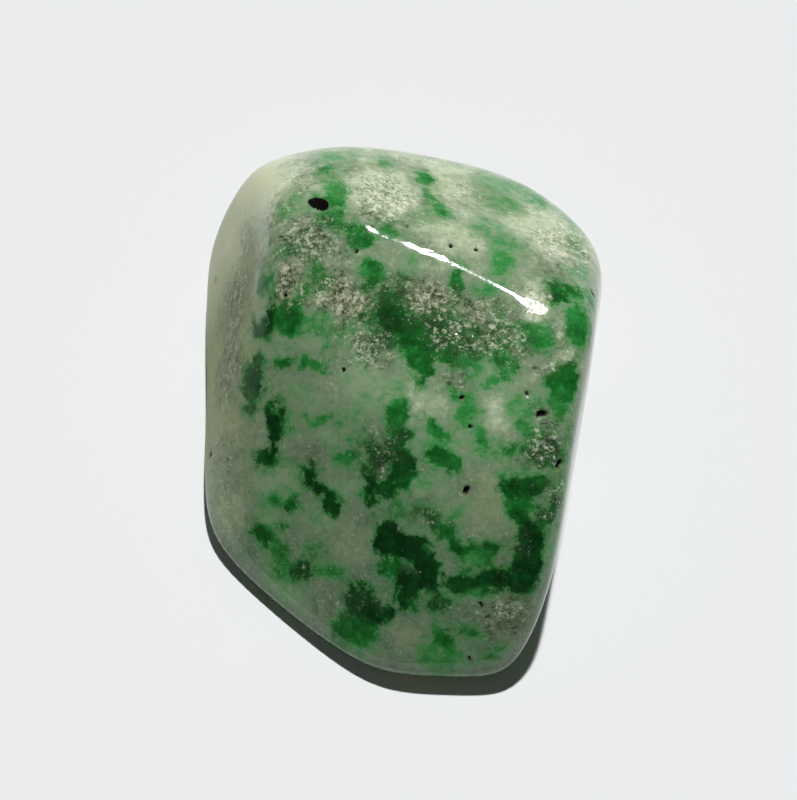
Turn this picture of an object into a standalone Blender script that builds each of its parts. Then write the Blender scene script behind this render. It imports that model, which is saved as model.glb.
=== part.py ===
"""A tumbled stone: one rounded, polished lump of rock that rests on a small flat spot.

Metres, +Z up. The stone lies as it rests, with its long way along Y and its blunt nose towards -Y.
The origin is in the middle of its footprint, on the surface that it rests on.
"""

import math

import bmesh
import bpy
import numpy as np
from mathutils import Matrix, Vector

MM = 0.001

# Driving dimensions, in millimetres and degrees. The form is worked out around the stone's heart,
# a point inside it, and azimuths turn from +X towards +Y.
HEART_HEIGHT = 6.0

# How tightly the edges between the flats are rounded: a higher number makes them sharper
ROUNDNESS = 14.0

# How finely the surface is cut: the box that its grid starts from, the cell of that grid, how
# much it is evened out towards its corners, and how sharply an edge may bend before it is halved
HALF_SIZES = (11.0, 15.0, 7.0)
CELL = 1.15
EVENNESS = 0.6
SHARPEST_BEND = math.radians(15)
BEND_PASSES = 3

# Each flat that the tumbling wore: its name, the azimuth and elevation that it faces, and its
# distance from the heart
FLATS = (
    ("front face", 262, 72, 6.4),
    ("front slope", 264, 57, 7.45),
    ("front foot", 268, 36, 10.2),
    ("front nose", 270, -35, 18.0),
    ("rear right facet", 48, 64, 8.9),
    ("rear left facet", 128, 60, 11.6),
    ("right flank", -12, 2, 10.25),
    ("right shoulder", 24, 2, 13.55),
    ("right undercut", -8, -32, 9.65),
    ("left flank", 183, 20, 9.2),
    ("left undercut", 182, -58, 10.8),
    ("back", 92, 12, 14.1),
    ("back right", 54, 10, 15.5),
    ("back undercut", 85, -35, 12.5),
    ("front left bevel", 227, 38, 7.05),
    ("front left undercut", 226, -58, 13.5),
    ("front right bevel", 305, 10, 21.0),
    ("underside, front", 264, -86.5, 6.35),
    ("underside, rear", 88, -83, 6.6),
)

# Faint swells in the polish: the azimuth and elevation along which each wave runs, how many
# radians it turns through from the heart outwards, and its height
SWELLS = (
    (20, 35, 6.5, 0.05),
    (110, -10, 8.0, 0.04),
    (250, 50, 10.0, 0.03),
)

# Shallow hollows where the rock is grainy and wore away faster than the smooth parts: where each
# one lies as seen from the heart, how many degrees it spreads over, and its depth
HOLLOWS = (
    ("left shoulder", 156, 51, 9, 0.16),
    ("behind the ridge", 98, 48, 8, 0.12),
    ("right shoulder", 30, 24, 9, 0.14),
    ("before the ridge", 350, 58, 10, 0.12),
    ("right flank", 340, 33, 8, 0.12),
    ("nose", 291, -3, 5, 0.12),
    ("back", 110, -5, 8, 0.14),
)

# Natural pits: where each one lies as seen from the heart, its length, width, turn and depth
PITS = (
    ("deep pit", 127, 47.5, 0.74, 0.62, 25, 1.8),
    ("pit in the left shoulder", 170, 45, 0.34, 0.26, 10, 0.30),
    ("brown pit", 128.5, 62.5, 0.32, 0.28, 70, 0.28),
    ("ridge pit, left", 87, 59, 0.30, 0.24, 0, 0.25),
    ("ridge pit, middle", 54, 59.5, 0.34, 0.26, 40, 0.28),
    ("ridge pit, right", 41.5, 54, 0.30, 0.30, 0, 0.25),
    ("rim pit, upper", 28, 20.5, 0.40, 0.30, 60, 0.35),
    ("rim pit, lower", 11, 27, 0.42, 0.28, 80, 0.40),
    ("torn pit", 322, 28.5, 0.62, 0.40, 15, 0.35),
    ("pit beside the torn pit", 324.5, 34, 0.34, 0.24, 0, 0.28),
    ("front pit, high", 303, 42.5, 0.28, 0.24, 30, 0.24),
    ("front pit, low", 299.5, 33, 0.28, 0.24, 0, 0.24),
    ("front pit, left", 224.5, 50.5, 0.26, 0.24, 0, 0.22),
    ("glittering pit", 290, 17.5, 0.46, 0.40, 50, 0.30),
    ("right flank pit", 316, 18, 0.52, 0.40, 30, 0.32),
    ("nose pit, left", 283, -13.5, 0.32, 0.28, 0, 0.26),
    ("nose pit, middle", 287, -5, 0.44, 0.30, 20, 0.28),
    ("nose pit, right", 292.5, -4.5, 0.38, 0.30, 0, 0.28),
    ("back pit, low", 96, -20, 0.44, 0.34, 35, 0.32),
    ("back pit, high", 70, 18, 0.36, 0.30, 80, 0.28),
    ("back pit, left", 142, -8, 0.50, 0.34, 15, 0.34),
    ("left flank pit", 196, -14, 0.40, 0.30, 60, 0.30),
    ("right undercut pit", 352, -40, 0.42, 0.34, 0, 0.30),
    ("underside pit", 215, -54, 0.44, 0.36, 45, 0.30),
)

# The tapered plug that each pit is cut with: its sides, its floor as a share of its mouth, how
# uneven its outline is, and how far it stands out of the surface
PIT_SIDES = 10
PIT_FLOOR = 0.55
PIT_UNEVENNESS = 0.16
PIT_CLEARANCE = 0.3

# Points nearer to each other than this are joined where the resting spot is cut
WELD = 0.03

# The rock's own colour between its green and white grains, and its worn polish
ROCK_COLOUR = (0.24, 0.35, 0.22, 1.0)
ROCK_ROUGHNESS = 0.28


def clear_scene():
    for thing in list(bpy.data.objects):
        bpy.data.objects.remove(thing, do_unlink=True)


def outward(azimuth, elevation):
    """Unit vector that faces an azimuth and an elevation, given in degrees."""
    turn = math.radians(azimuth)
    rise = math.radians(elevation)
    return np.array((math.cos(turn) * math.cos(rise), math.sin(turn) * math.cos(rise), math.sin(rise)))


FACINGS = np.array([outward(azimuth, elevation) for _, azimuth, elevation, _ in FLATS])
DISTANCES = np.array([distance for _, _, _, distance in FLATS])


def surface_distance(directions):
    """Distance from the heart to the surface along unit vectors.

    Each flat alone would stop a direction at its plane. The planes are blended by adding the
    powers of how near each one is, so that neighbouring flats meet in a rounded edge. The swells
    are waves on top of that, and each hollow is a bell-shaped dip about its own direction.
    """
    nearness = np.maximum(directions @ FACINGS.T / DISTANCES, 0) ** ROUNDNESS
    distance = nearness.sum(axis=1) ** (-1 / ROUNDNESS)
    for azimuth, elevation, turns, height in SWELLS:
        distance = distance + height * np.sin(turns * (directions @ outward(azimuth, elevation)))
    for _, azimuth, elevation, spread, depth in HOLLOWS:
        away = 2 * (1 - directions @ outward(azimuth, elevation)) / math.radians(spread) ** 2
        distance = distance - depth * np.exp(-away)
    return distance


def surface_facing(direction):
    """Outward unit normal of the blended flats where a direction from the heart meets them."""
    weights = np.maximum(FACINGS @ direction / DISTANCES, 0) ** (ROUNDNESS - 1) / DISTANCES
    normal = weights @ FACINGS
    return normal / np.linalg.norm(normal)


def make_rock():
    rock = bpy.data.materials.new("tumbled_rock")
    rock.use_nodes = True
    shader = rock.node_tree.nodes["Principled BSDF"]
    shader.inputs["Base Color"].default_value = ROCK_COLOUR
    shader.inputs["Roughness"].default_value = ROCK_ROUGHNESS
    shader.inputs["Metallic"].default_value = 0.0
    rock.diffuse_color = ROCK_COLOUR
    return rock


def cut_along(bm, axis, cells):
    """Cut every edge that runs along one axis into equal cells, as loop cuts do."""
    along = [edge for edge in bm.edges if abs((edge.verts[0].co - edge.verts[1].co)[axis]) > 1.0]
    bmesh.ops.subdivide_edges(bm, edges=along, cuts=cells - 1)


def press_onto_surface(bm):
    """Move every point along its line from the heart until it lies on the surface."""
    points = np.array([vert.co for vert in bm.verts])
    directions = points / np.linalg.norm(points, axis=1, keepdims=True)
    points = directions * surface_distance(directions)[:, None]
    for vert, point in zip(bm.verts, points):
        vert.co = point


def refine_bends(bm):
    """Halve the edges along which the surface turns sharply, as it does round the nose and rims."""
    bm.normal_update()
    bent = [edge for edge in bm.edges if edge.verts[0].normal.angle(edge.verts[1].normal) > SHARPEST_BEND]
    bmesh.ops.subdivide_edges(bm, edges=bent, cuts=1)
    uneven = [face for face in bm.faces if len(face.verts) > 4]
    bmesh.ops.triangulate(bm, faces=uneven)
    press_onto_surface(bm)


def make_body(rock):
    """The rounded body: a gridded box pressed onto the flats, then worn level where it rests."""
    bm = bmesh.new()
    bmesh.ops.create_cube(bm, size=2.0)
    for axis, half_size in enumerate(HALF_SIZES):
        cut_along(bm, axis, round(2 * half_size / CELL))
    for vert in bm.verts:
        vert.co = [math.tan(EVENNESS * place) * size for place, size in zip(vert.co, HALF_SIZES)]
    press_onto_surface(bm)
    for _ in range(BEND_PASSES):
        refine_bends(bm)

    everything = bm.verts[:] + bm.edges[:] + bm.faces[:]
    floor = (0.0, 0.0, -HEART_HEIGHT)
    bmesh.ops.bisect_plane(bm, geom=everything, plane_co=floor, plane_no=(0, 0, -1), clear_outer=True)
    bmesh.ops.remove_doubles(bm, verts=bm.verts[:], dist=WELD)
    rim = [edge for edge in bm.edges if edge.is_boundary]
    bmesh.ops.contextual_create(bm, geom=rim)
    bmesh.ops.triangulate(bm, faces=bm.faces[:])
    bmesh.ops.recalc_face_normals(bm, faces=bm.faces[:])
    bmesh.ops.scale(bm, vec=(MM, MM, MM), verts=bm.verts[:])

    mesh = bpy.data.meshes.new("stone")
    bm.to_mesh(mesh)
    bm.free()
    mesh.materials.append(rock)
    body = bpy.data.objects.new("stone", mesh)
    bpy.context.scene.collection.objects.link(body)
    return body


def add_pit_plug(bm, azimuth, elevation, length, width, turn, depth):
    """A tapered plug with an uneven outline, set square into the surface to the pit's depth."""
    direction = outward(azimuth, elevation)
    place = direction * surface_distance(direction[None, :])[0]
    upright = Vector(surface_facing(direction)).to_track_quat("Z", "Y").to_matrix().to_4x4()
    height = depth + PIT_CLEARANCE
    plug = bmesh.ops.create_cone(
        bm, cap_ends=True, segments=PIT_SIDES, radius1=PIT_FLOOR, radius2=1.0, depth=1.0
    )
    for vert in plug["verts"]:
        angle = math.atan2(vert.co.y, vert.co.x)
        bulge = 1 + PIT_UNEVENNESS * (math.sin(2 * angle + azimuth) + 0.5 * math.sin(3 * angle + elevation))
        vert.co.x *= bulge * length / 2
        vert.co.y *= bulge * width / 2
        vert.co.z = vert.co.z * height + PIT_CLEARANCE - height / 2
    placing = Matrix.Translation(place) @ upright @ Matrix.Rotation(math.radians(turn), 4, "Z")
    bmesh.ops.transform(bm, matrix=Matrix.Scale(MM, 4) @ placing, verts=plug["verts"])


def make_pit_plugs():
    bm = bmesh.new()
    for _, azimuth, elevation, length, width, turn, depth in PITS:
        add_pit_plug(bm, azimuth, elevation, length, width, turn, depth)
    mesh = bpy.data.meshes.new("pit_plugs")
    bm.to_mesh(mesh)
    bm.free()
    plugs = bpy.data.objects.new("pit_plugs", mesh)
    bpy.context.scene.collection.objects.link(plugs)
    plugs.display_type = "WIRE"
    plugs.hide_render = True
    return plugs


def set_down(body, plugs):
    """Move both meshes so that the body's footprint is centred on the origin and rests at zero height."""
    corners = np.array([corner[:] for corner in body.bound_box])
    middle = (corners.min(axis=0) + corners.max(axis=0)) / 2
    shift = Matrix.Translation((-middle[0], -middle[1], HEART_HEIGHT * MM))
    body.data.transform(shift)
    plugs.data.transform(shift)


def sink_pits(body, plugs):
    pits = body.modifiers.new("pits", "BOOLEAN")
    pits.operation = "DIFFERENCE"
    pits.solver = "EXACT"
    pits.object = plugs


clear_scene()
stone = make_body(make_rock())
pit_plugs = make_pit_plugs()
set_down(stone, pit_plugs)
sink_pits(stone, pit_plugs)
stone.data.shade_smooth()
stone.data.set_sharp_from_angle(angle=math.radians(40))
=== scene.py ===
"""The looks of a tumbled stone: polished rock of deep green and whitish grains, on a pale sheet.

The CAD part gives the stone's place and size. This script lays a finer surface of the same form
over it, sinks the same pits, and grows the rock's grains through it. Lengths in the tables are in
millimetres, angles in degrees, and places in the picture in pixels of its 797 x 800 frame.
"""
import math

import bpy
import numpy as np
from mathutils import Matrix, Vector


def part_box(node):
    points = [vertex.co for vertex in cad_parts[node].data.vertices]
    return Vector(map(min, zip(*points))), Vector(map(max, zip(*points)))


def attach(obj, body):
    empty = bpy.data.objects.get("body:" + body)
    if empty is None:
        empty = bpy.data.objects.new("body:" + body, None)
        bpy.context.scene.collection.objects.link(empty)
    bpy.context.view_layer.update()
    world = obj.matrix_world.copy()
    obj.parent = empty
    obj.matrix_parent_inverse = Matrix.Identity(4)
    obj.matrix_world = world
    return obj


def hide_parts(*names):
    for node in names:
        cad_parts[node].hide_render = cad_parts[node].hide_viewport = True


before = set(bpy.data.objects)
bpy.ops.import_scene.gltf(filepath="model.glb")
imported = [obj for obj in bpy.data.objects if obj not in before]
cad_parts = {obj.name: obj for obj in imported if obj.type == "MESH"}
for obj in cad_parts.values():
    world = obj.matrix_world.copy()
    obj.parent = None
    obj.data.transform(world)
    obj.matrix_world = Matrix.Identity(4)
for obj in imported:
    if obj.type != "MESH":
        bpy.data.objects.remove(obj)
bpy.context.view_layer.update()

MM = 0.001
SEED = 11


# The eye: a camera 55 degrees above the sheet, looking along +Y, at the distance and with the
# lens that make the stone as large in the picture as it is.
EYE_ELEVATION = math.radians(55)
EYE_TARGET = np.array((0.03, -0.15, 5.5))
EYE_DISTANCE = 104.4
LENS = 85.0
SENSOR = 36.0
PICTURE_WIDTH = 797
PICTURE_HEIGHT = 800

right = np.array((1.0, 0.0, 0.0))
upward = np.array((0.0, math.sin(EYE_ELEVATION), math.cos(EYE_ELEVATION)))
backward = np.array((0.0, -math.cos(EYE_ELEVATION), math.sin(EYE_ELEVATION)))
eye = EYE_TARGET + EYE_DISTANCE * backward

camera_data = bpy.data.cameras.new("camera")
camera_data.lens = LENS
camera_data.sensor_width = SENSOR
camera_data.clip_start = 0.005
camera = bpy.data.objects.new("camera", camera_data)
axes_and_place = np.column_stack((right, upward, backward, eye * MM))
camera.matrix_world = Matrix([*axes_and_place.tolist(), (0, 0, 0, 1)])
bpy.context.scene.collection.objects.link(camera)
bpy.context.scene.camera = camera


# The form. The stone is one lump of rock whose corners tumbling has worn round. Each flat that
# the wear made is a plane at some distance from the stone's heart, a point inside it. A row gives
# the azimuth and the elevation that a flat faces, and its distance.
HEART_HEIGHT = 6.0
ROUNDNESS = 14.0
FLATS = (
    ("front face", 262, 72, 6.4),
    ("front slope", 264, 57, 7.45),
    ("front foot", 268, 36, 10.2),
    ("front nose", 270, -35, 18.0),
    ("rear right facet", 48, 64, 8.9),
    ("rear left facet", 128, 60, 11.6),
    ("right flank", -12, 2, 10.25),
    ("right shoulder", 24, 2, 13.55),
    ("right undercut", -8, -32, 9.65),
    ("left flank", 183, 20, 9.2),
    ("left undercut", 182, -58, 10.8),
    ("back", 92, 12, 14.1),
    ("back right", 54, 10, 15.5),
    ("back undercut", 85, -35, 12.5),
    ("front left bevel", 227, 38, 7.05),
    ("front left undercut", 226, -58, 13.5),
    ("front right bevel", 305, 10, 21.0),
    ("underside, front", 264, -86.5, 6.35),
    ("underside, rear", 88, -83, 6.6),
)

# Swells: the azimuth and elevation of each one's middle, its turns and its height
SWELLS = (
    (20, 35, 6.5, 0.05),
    (110, -10, 8.0, 0.04),
    (250, 50, 10.0, 0.03),
)

# Hollows: the azimuth and elevation of each one's middle, its spread and its depth
HOLLOWS = (
    ("left shoulder", 156, 51, 9, 0.16),
    ("behind the ridge", 98, 48, 8, 0.12),
    ("right shoulder", 30, 24, 9, 0.14),
    ("before the ridge", 350, 58, 10, 0.12),
    ("right flank", 340, 33, 8, 0.12),
    ("nose", 291, -3, 5, 0.12),
    ("back", 110, -5, 8, 0.14),
)


def outward(azimuth, elevation):
    """Unit vectors that face azimuths and elevations given in degrees."""
    turn = np.radians(azimuth)
    rise = np.radians(elevation)
    return np.stack((np.cos(turn) * np.cos(rise), np.sin(turn) * np.cos(rise), np.sin(rise)), axis=-1)


facings = np.array([outward(azimuth, elevation) for _, azimuth, elevation, _ in FLATS])
flat_distances = np.array([distance for _, _, _, distance in FLATS])


def surface_distance(directions):
    """Distance from the heart to the surface along unit vectors.

    The distance is (sum of (cosine to each flat / the flat's distance)^14)^(-1/14). Each swell adds
    its height x sin(its turns x the cosine to it). Each hollow takes off its depth x e^-(angle to
    it / its spread)^2. The distance ends at the plane that the stone rests on.
    """
    nearness = np.maximum(directions @ facings.T / flat_distances, 0) ** ROUNDNESS
    distance = nearness.sum(axis=1) ** (-1 / ROUNDNESS)
    for azimuth, elevation, turns, height in SWELLS:
        distance = distance + height * np.sin(turns * (directions @ outward(azimuth, elevation)))
    for _, azimuth, elevation, spread, depth in HOLLOWS:
        away = 2 * (1 - directions @ outward(azimuth, elevation)) / math.radians(spread) ** 2
        distance = distance - depth * np.exp(-away)
    fall = np.maximum(-directions[:, 2], 1e-6)
    return np.minimum(distance, HEART_HEIGHT / fall)


def surface_facing(directions):
    """Outward unit normals of the blended flats where directions from the heart meet them.

    They are the flats' facings added up, each times (cosine to it / its distance)^13 / its distance.
    """
    weights = np.maximum(directions @ facings.T / flat_distances, 0) ** (ROUNDNESS - 1) / flat_distances
    normals = weights @ facings
    return normals / np.linalg.norm(normals, axis=1, keepdims=True)


# The grid: rings round a pole that faces the eye, closer together on that side. A ring's tilt
# from the pole is 180 degrees x (0.55 s + 0.45 s^3) for s from 0 to 1.
RINGS = 244
RING_POINTS = 400
POLE_AZIMUTH = 268
POLE_ELEVATION = 60

share = np.arange(1, RINGS) / RINGS
tilt = np.pi * (0.55 * share + 0.45 * share**3)
turn = 2 * np.pi * np.arange(RING_POINTS) / RING_POINTS
pole = outward(POLE_AZIMUTH, POLE_ELEVATION)
across = np.cross((0, 0, 1), pole)
across = across / np.linalg.norm(across)
along = np.cross(pole, across)
rings = (
    np.cos(tilt)[:, None, None] * pole
    + np.sin(tilt)[:, None, None] * (np.cos(turn)[:, None] * across + np.sin(turn)[:, None] * along)
)
directions = np.concatenate((pole[None], rings.reshape(-1, 3), -pole[None]))

ring = np.arange(RINGS - 1)[:, None] * RING_POINTS + 1
here = np.arange(RING_POINTS)
after = (here + 1) % RING_POINTS
inner, outer = ring[:-1], ring[1:]
quads = np.stack((inner + here, outer + here, outer + after, inner + after), axis=-1).reshape(-1, 4)
first, last = 1, 1 + (RINGS - 2) * RING_POINTS
far_pole = len(directions) - 1
caps = np.concatenate((
    np.stack((np.zeros_like(here), first + here, first + after), axis=-1),
    np.stack((np.full_like(here, far_pole), last + after, last + here), axis=-1),
))

# The heart is placed so that the surface's box and the CAD part's have one middle, seen from above
bare = directions * surface_distance(directions)[:, None]
cad_low, cad_high = (np.array(corner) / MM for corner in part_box("stone"))
heart = (cad_low + cad_high) / 2 - (bare.min(axis=0) + bare.max(axis=0)) / 2
heart[2] = HEART_HEIGHT
normals = surface_facing(directions)


# Noise through the rock: fixed random slopes at the corners of a cubic lattice, blended between
# the corners, so that every grain runs on into the stone.
LAYER_SHIFT = 17.3
CORNER_PRIMES = np.array((73856093, 19349663, 83492791))

slopes = np.random.default_rng(SEED).normal(size=(4096, 3))
slopes /= np.linalg.norm(slopes, axis=1, keepdims=True)


def noise(points, cell, layer):
    """Gradient noise of about -0.7 to 0.7: the lattice's slopes blended by 6t^5 - 15t^4 + 10t^3."""
    spots = points / cell + LAYER_SHIFT * layer
    corner = np.floor(spots).astype(np.int64)
    part = spots - corner
    ease = part**3 * (part * (part * 6 - 15) + 10)
    total = np.zeros(len(points))
    for step in np.ndindex(2, 2, 2):
        pick = np.bitwise_xor.reduce((corner + step) * CORNER_PRIMES, axis=1) % len(slopes)
        weight = np.where(step, ease, 1 - ease).prod(axis=1)
        total += weight * ((part - step) * slopes[pick]).sum(axis=1)
    return total


def layered(points, cell, layer, octaves=3):
    """Noise of ever finer cells, each half as large and half as strong as the one before."""
    return sum(noise(points, cell / 2**n, layer + n) / 2**n for n in range(octaves))


def eased(low, high, values):
    """0 on low's side, 1 on high's side, and an even S from the one to the other between them."""
    part = np.clip((values - low) / (high - low), 0, 1)
    return part * part * (3 - 2 * part)


def warped(points, reach, cell, layer):
    """Points pushed about by noise, so that what is drawn at them gets ragged sides."""
    push = np.stack([layered(points, cell, layer + 10 * n) for n in range(3)], axis=-1)
    return points + reach * push


# Where a pixel of the picture falls on the stone.
SEARCH_REACH = 25
SEARCH_STEPS = 200
HALVINGS = 20

focal_pixels = LENS / SENSOR * max(PICTURE_WIDTH, PICTURE_HEIGHT)


def behind_pixels(pixels):
    """Points on the surface, from the heart, that the eye sees at pixels.

    Each pixel's line from the eye is followed in even steps to the first one that is inside the
    stone, which is then narrowed down by halving. A line that misses stops where it is nearest.
    """
    pixels = np.asarray(pixels, float)
    aside = (pixels[:, 0] - (PICTURE_WIDTH - 1) / 2) / focal_pixels
    down = (pixels[:, 1] - PICTURE_HEIGHT / 2) / focal_pixels
    line = -backward + aside[:, None] * right - down[:, None] * upward
    start = eye - heart

    def height(reach):
        spot = start + reach[..., None] * line[:, None, :]
        span = np.linalg.norm(spot, axis=-1)
        flat = (spot / span[..., None]).reshape(-1, 3)
        return span - surface_distance(flat).reshape(span.shape)

    steps = np.linspace(EYE_DISTANCE - SEARCH_REACH, EYE_DISTANCE + SEARCH_REACH, SEARCH_STEPS)
    heights = height(np.broadcast_to(steps, (len(pixels), len(steps))))
    inside = heights < 0
    entry = np.where(inside.any(axis=1), inside.argmax(axis=1), heights.argmin(axis=1))
    near = steps[np.maximum(entry - 1, 0)]
    far = steps[entry]
    for _ in range(HALVINGS):
        middle = (near + far) / 2
        within = height(middle[:, None])[:, 0] < 0
        far = np.where(within, middle, far)
        near = np.where(within, near, middle)
    return start + far[:, None] * line


# Natural pits, where grains fell out: the same as those sunk in the CAD part. A row gives the
# azimuth and the elevation of a pit's middle, its length, width and turn, and its depth.
PITS = (
    ("deep pit", 127, 47.5, 0.74, 0.62, 25, 1.8),
    ("pit in the left shoulder", 170, 45, 0.34, 0.26, 10, 0.30),
    ("brown pit", 128.5, 62.5, 0.32, 0.28, 70, 0.28),
    ("ridge pit, left", 87, 59, 0.30, 0.24, 0, 0.25),
    ("ridge pit, middle", 54, 59.5, 0.34, 0.26, 40, 0.28),
    ("ridge pit, right", 41.5, 54, 0.30, 0.30, 0, 0.25),
    ("rim pit, upper", 28, 20.5, 0.40, 0.30, 60, 0.35),
    ("rim pit, lower", 11, 27, 0.42, 0.28, 80, 0.40),
    ("torn pit", 322, 28.5, 0.62, 0.40, 15, 0.35),
    ("pit beside the torn pit", 324.5, 34, 0.34, 0.24, 0, 0.28),
    ("front pit, high", 303, 42.5, 0.28, 0.24, 30, 0.24),
    ("front pit, low", 299.5, 33, 0.28, 0.24, 0, 0.24),
    ("front pit, left", 224.5, 50.5, 0.26, 0.24, 0, 0.22),
    ("glittering pit", 290, 17.5, 0.46, 0.40, 50, 0.30),
    ("right flank pit", 316, 18, 0.52, 0.40, 30, 0.32),
    ("nose pit, left", 283, -13.5, 0.32, 0.28, 0, 0.26),
    ("nose pit, middle", 287, -5, 0.44, 0.30, 20, 0.28),
    ("nose pit, right", 292.5, -4.5, 0.38, 0.30, 0, 0.28),
    ("back pit, low", 96, -20, 0.44, 0.34, 35, 0.32),
    ("back pit, high", 70, 18, 0.36, 0.30, 80, 0.28),
    ("back pit, left", 142, -8, 0.50, 0.34, 15, 0.34),
    ("left flank pit", 196, -14, 0.40, 0.30, 60, 0.30),
    ("right undercut pit", 352, -40, 0.42, 0.34, 0, 0.30),
    ("underside pit", 215, -54, 0.44, 0.36, 45, 0.30),
)
PIT_UNEVENNESS = 0.16

# Points this far off a pit's plane are on another side of the stone, and count as well outside it
PIT_REACH = 1.5
WELL_OUTSIDE = 9

# A pit deeper than this is so dark that its shade is wider by this much than its outline
DEEP = 1.0
SHADE_WIDER = 0.15


def pit_fields(points):
    """How deep the pits sink each point, and how far inside a pit's outline it lies, in mm.

    An outline is an ellipse, made uneven by two and three waves round it. A pit has its full depth
    up to 0.55 of the way from its middle to its outline, and rises to nothing there by an even S.
    """
    sunk = np.zeros(len(points))
    inside = np.full(len(points), -1.0)
    for _, azimuth, elevation, length, width, turned, depth in PITS:
        direction = outward(azimuth, elevation)[None]
        middle = direction * surface_distance(direction)[:, None]
        normal = surface_facing(direction)[0]
        sideways = np.cross((0, 0, 1), normal)
        sideways = sideways / np.linalg.norm(sideways)
        upslope = np.cross(normal, sideways)
        off = points - middle
        bearing = np.arctan2(off @ upslope, off @ sideways) - math.radians(turned)
        waves = np.sin(2 * bearing + azimuth) + 0.5 * np.sin(3 * bearing + elevation)
        bulge = 1 + PIT_UNEVENNESS * waves
        span = np.hypot(np.cos(bearing) / (length / 2), np.sin(bearing) / (width / 2)) / bulge
        radius = np.hypot(off @ upslope, off @ sideways)
        scaled = radius * span + (np.abs(off @ normal) > PIT_REACH) * WELL_OUTSIDE
        sunk = np.maximum(sunk, depth * (1 - eased(0.55, 1.0, scaled)))
        in_shade = SHADE_WIDER * (depth > DEEP)
        inside = np.maximum(inside, (1 - scaled) * min(length, width) / 2 + in_shade)
    return sunk, inside


pit_depth, pit_inside = pit_fields(bare)


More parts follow.
